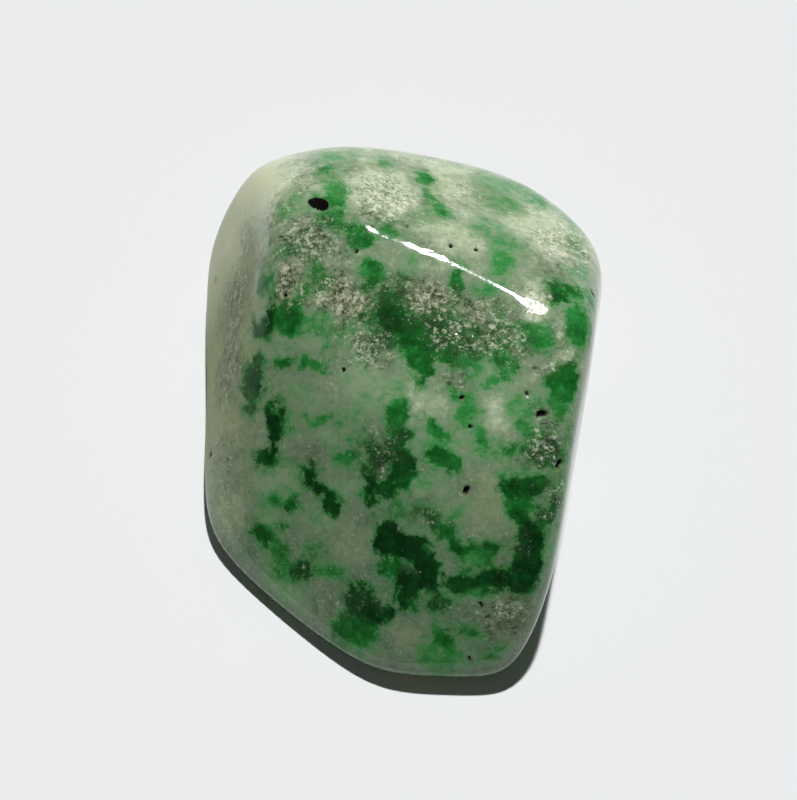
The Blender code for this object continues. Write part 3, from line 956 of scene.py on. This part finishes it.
# Patterns of the rock, and how loose it is: 0 where it is dense, 1 in a mosaic of grains
grain_amount = attribute("grain")
edge_noise = cloud_noise(0.55, detail=6, roughness=0.68)
fine_noise = cloud_noise(0.22, detail=3, roughness=0.75, offset=0.031)
tone_noise = cloud_noise(0.8, detail=4, roughness=0.6, offset=0.057)
haze_noise = cloud_noise(2.2, detail=5, roughness=0.62, offset=0.083)
cell_number, cell_distance = crystals(0.12)
speck_noise = cloud_noise(0.50, detail=5, roughness=0.85, offset=0.043)
speck = math_of("MULTIPLY_ADD", cell_number, 0.55, math_of("MULTIPLY_ADD", speck_noise, 3.2, 0.22))
sugar_number, _ = crystals(0.13, offset=0.011)
looseness = between(math_of("MULTIPLY_ADD", edge_noise, 1.5, grain_amount), -0.05, 1.15)

# Where the green is: its lumps, with edges that the crystals make ragged
grain_break = math_of("MULTIPLY", math_of("SUBTRACT", cell_number, 0.5), grain_amount)
edge = math_of("MULTIPLY_ADD", edge_noise, 1.45, math_of("ADD", attribute("green"), 0.03))
edge = math_of("MULTIPLY_ADD", grain_break, 0.40, edge)
edge = math_of("MULTIPLY_ADD", speck_noise, 0.75, edge)
blur = math_of("MULTIPLY_ADD", attribute("softness"), 0.42, 0.10)
cover = between(math_of("DIVIDE", edge, blur), -1.0, 1.0)
halo = between(math_of("MULTIPLY_ADD", haze_noise, 1.6, edge), -0.60, 0.15, 0.0, 0.55)

# Tones of the green, deeper towards the middle of each lump
depth_of_tone = between(edge, -0.05, 0.30, 0.50, 1.0)
tone_here = math_of("MULTIPLY", attribute("tone"), depth_of_tone)
tone_here = math_of("MULTIPLY_ADD", tone_noise, 0.85, tone_here)
tone_here = math_of("MULTIPLY_ADD", fine_noise, 0.42, tone_here)
green_colour = ramp(
    tone_here,
    (0.0, (0.26, 0.37, 0.22)),
    (0.20, (0.125, 0.31, 0.125)),
    (0.30, (0.060, 0.28, 0.075)),
    (0.42, (0.028, 0.235, 0.046)),
    (0.62, (0.010, 0.138, 0.019)),
    (0.82, (0.004, 0.070, 0.010)),
    (1.0, (0.002, 0.032, 0.005)),
)

# The pale rock, with its clouds, its sugary grain and a greener skin round every green lump. Its whiteness
# carries painted shade towards the nose, painted light towards the back and a painted highlight at the right
# end of the ridge.
whiteness_and_painted_light = math_of("MULTIPLY_ADD", haze_noise, 1.2, attribute("white_and_painted_light"))
whiteness_and_painted_light = math_of("MULTIPLY_ADD", tone_noise, 1.5, whiteness_and_painted_light)
whiteness_and_painted_light = math_of("MULTIPLY_ADD", speck_noise, 1.6, whiteness_and_painted_light)
whiteness_and_painted_light = math_of("MULTIPLY_ADD", fine_noise, 0.45, whiteness_and_painted_light)
whiteness_and_painted_light = math_of("MULTIPLY_ADD", math_of("SUBTRACT", sugar_number, 0.5), 0.22, whiteness_and_painted_light)
pale_colour = ramp(
    math_of("MULTIPLY_ADD", whiteness_and_painted_light, 0.4, 0.55),
    (0.07, (0.080, 0.15, 0.078)),
    (0.25, (0.145, 0.24, 0.135)),
    (0.40, (0.195, 0.285, 0.170)),
    (0.52, (0.24, 0.33, 0.20)),
    (0.69, (0.37, 0.47, 0.30)),
    (0.98, (0.70, 0.79, 0.56)),
)
warmth = between(cloud_noise(1.5, detail=5, roughness=0.65, offset=0.127), -0.05, 0.25, 0.0, 0.45)
pale_colour = mixed_colour(warmth, pale_colour, (0.34, 0.345, 0.26))
sugar = between(math_of("MULTIPLY_ADD", fine_noise, 1.6, sugar_number), 0.75, 1.35, 0.0, 0.55)
pale_colour = mixed_colour(sugar, pale_colour, (0.50, 0.58, 0.44))
yellowness = math_of("MULTIPLY_ADD", tone_noise, 0.5, attribute("yellow"))
# How white the rock is here, its painted light and shade included
in_white_and_painted_light = between(attribute("white_and_painted_light"), 0.1, 0.9)
yellow_colour = mixed_colour(in_white_and_painted_light, (0.30, 0.35, 0.155), (0.56, 0.60, 0.33))
pale_colour = mixed_colour(between(yellowness, 0.0, 1.1), pale_colour, yellow_colour)
pale_colour = mixed_colour(halo, pale_colour, (0.145, 0.27, 0.13))

# Loose stretches: duller ground, greyish to tan, with cream and dark crystals strewn over it. The cream
# flecks are partly painted glitter.
tan = between(attribute("grain_brown"), 0.0, 0.9)
ground = mixed_colour(tan, (0.105, 0.165, 0.085), (0.165, 0.175, 0.095))
ground = mixed_colour(in_white_and_painted_light, ground, (0.40, 0.48, 0.32))
colour = mixed_colour(math_of("MULTIPLY", looseness, 0.70), pale_colour, ground)
colour = mixed_colour(cover, colour, green_colour)
colour = mixed_colour(math_of("MULTIPLY", looseness, 0.25), colour, ground)
gaps = between(math_of("MULTIPLY_ADD", looseness, -0.60, speck), -0.60, 0.10, 0.90, 0.0)
colour = mixed_colour(gaps, colour, mixed_colour(in_white_and_painted_light, (0.03, 0.055, 0.025), (0.19, 0.25, 0.13)))
# The flecks: cream crystals, partly painted glitter
flecks_and_glitter = between(math_of("MULTIPLY_ADD", looseness, 0.66, speck), 1.02, 1.66, 0.0, 0.95)
fleck_and_glitter_colour = mixed_colour(tan, (0.52, 0.58, 0.44), (0.56, 0.55, 0.40))
fleck_and_glitter_colour = mixed_colour(in_white_and_painted_light, fleck_and_glitter_colour, (0.84, 0.84, 0.70))
colour = mixed_colour(flecks_and_glitter, colour, fleck_and_glitter_colour)

# Pits are painted near black inside, as painted shade in their hollows, with brown rims
pit_edge = math_of("MULTIPLY_ADD", fine_noise, 0.10, attribute("pit"))
colour = mixed_colour(between(pit_edge, -0.06, 0.02, 0.0, 0.55), colour, (0.10, 0.09, 0.05))
painted_pit_shade = between(pit_edge, 0.0, 0.05)
colour = mixed_colour(painted_pit_shade, colour, (0.002, 0.002, 0.002))
links.new(colour, shader.inputs["Base Color"])

# The polish: a little less on loose grains, much less on the left flank, and none in the pits
roughness = between(looseness, 0.3, 1.1, 0.045, 0.09)
roughness = math_of("MULTIPLY_ADD", fine_noise, 0.02, roughness)
roughness = math_of("MULTIPLY_ADD", attribute("dull"), 0.60, roughness)
roughness = math_of("ADD", between(pit_edge, -0.06, 0.0), roughness)
links.new(roughness, shader.inputs["Roughness"])

# Relief too fine for the mesh, and a little light that goes through the rock's skin
bump_height = math_of("MULTIPLY", math_of("MULTIPLY", cell_distance, grain_amount), -0.6)
bump_height = math_of("MULTIPLY_ADD", fine_noise, 0.12, bump_height)
bump = add("ShaderNodeBump", {"Height": bump_height, "Strength": 0.28, "Distance": 0.00004})
links.new(bump.outputs["Normal"], shader.inputs["Normal"])
shader.inputs["IOR"].default_value = 1.46
shader.inputs["Subsurface Weight"].default_value = 0.12
shader.inputs["Subsurface Radius"].default_value = (0.5, 0.8, 0.45)
shader.inputs["Subsurface Scale"].default_value = 0.0006

mesh.materials.append(rock)
stone = bpy.data.objects.new("polished_stone", mesh)
bpy.context.scene.collection.objects.link(stone)
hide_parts("stone")
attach(stone, "root")


# The sheet that the stone lies on, a high lamp behind it to the right, and a pale room. The lamp
# is a bulb that glints on the polish, and a wider glow that softens the shadows and isn't
# mirrored. A row gives the strength, the spread and whether it is mirrored.
FLOOR_SIZE = 6.0
LAMP_FROM = (0.095, 0.335, 0.937)
LAMPS = (
    ("bulb", 1.2, 1.0, True),
    ("glow_round_the_bulb", 2.15, 3.6, False),
)
ROOM_STRENGTH = 0.05

bpy.ops.mesh.primitive_plane_add(size=FLOOR_SIZE)
floor = bpy.context.object
floor.name = "pale_sheet"
paper = bpy.data.materials.new("pale_paper")
paper.use_nodes = True
paper.node_tree.nodes["Principled BSDF"].inputs["Base Color"].default_value = (0.80, 0.81, 0.82, 1)
paper.node_tree.nodes["Principled BSDF"].inputs["Roughness"].default_value = 0.9
floor.data.materials.append(paper)

for name, strength, spread, mirrored in LAMPS:
    lamp_data = bpy.data.lights.new(name, "SUN")
    lamp_data.energy = strength
    lamp_data.angle = math.radians(spread)
    lamp = bpy.data.objects.new(name, lamp_data)
    lamp.rotation_mode = "QUATERNION"
    lamp.rotation_quaternion = Vector(LAMP_FROM).to_track_quat("Z", "Y")
    lamp.visible_glossy = mirrored
    bpy.context.scene.collection.objects.link(lamp)

room = bpy.data.worlds.new("room")
room.use_nodes = True
room.node_tree.nodes["Background"].inputs["Color"].default_value = (1.0, 1.0, 1.0, 1)
room.node_tree.nodes["Background"].inputs["Strength"].default_value = ROOM_STRENGTH
bpy.context.scene.world = room
bpy.context.scene.view_settings.view_transform = "Standard"
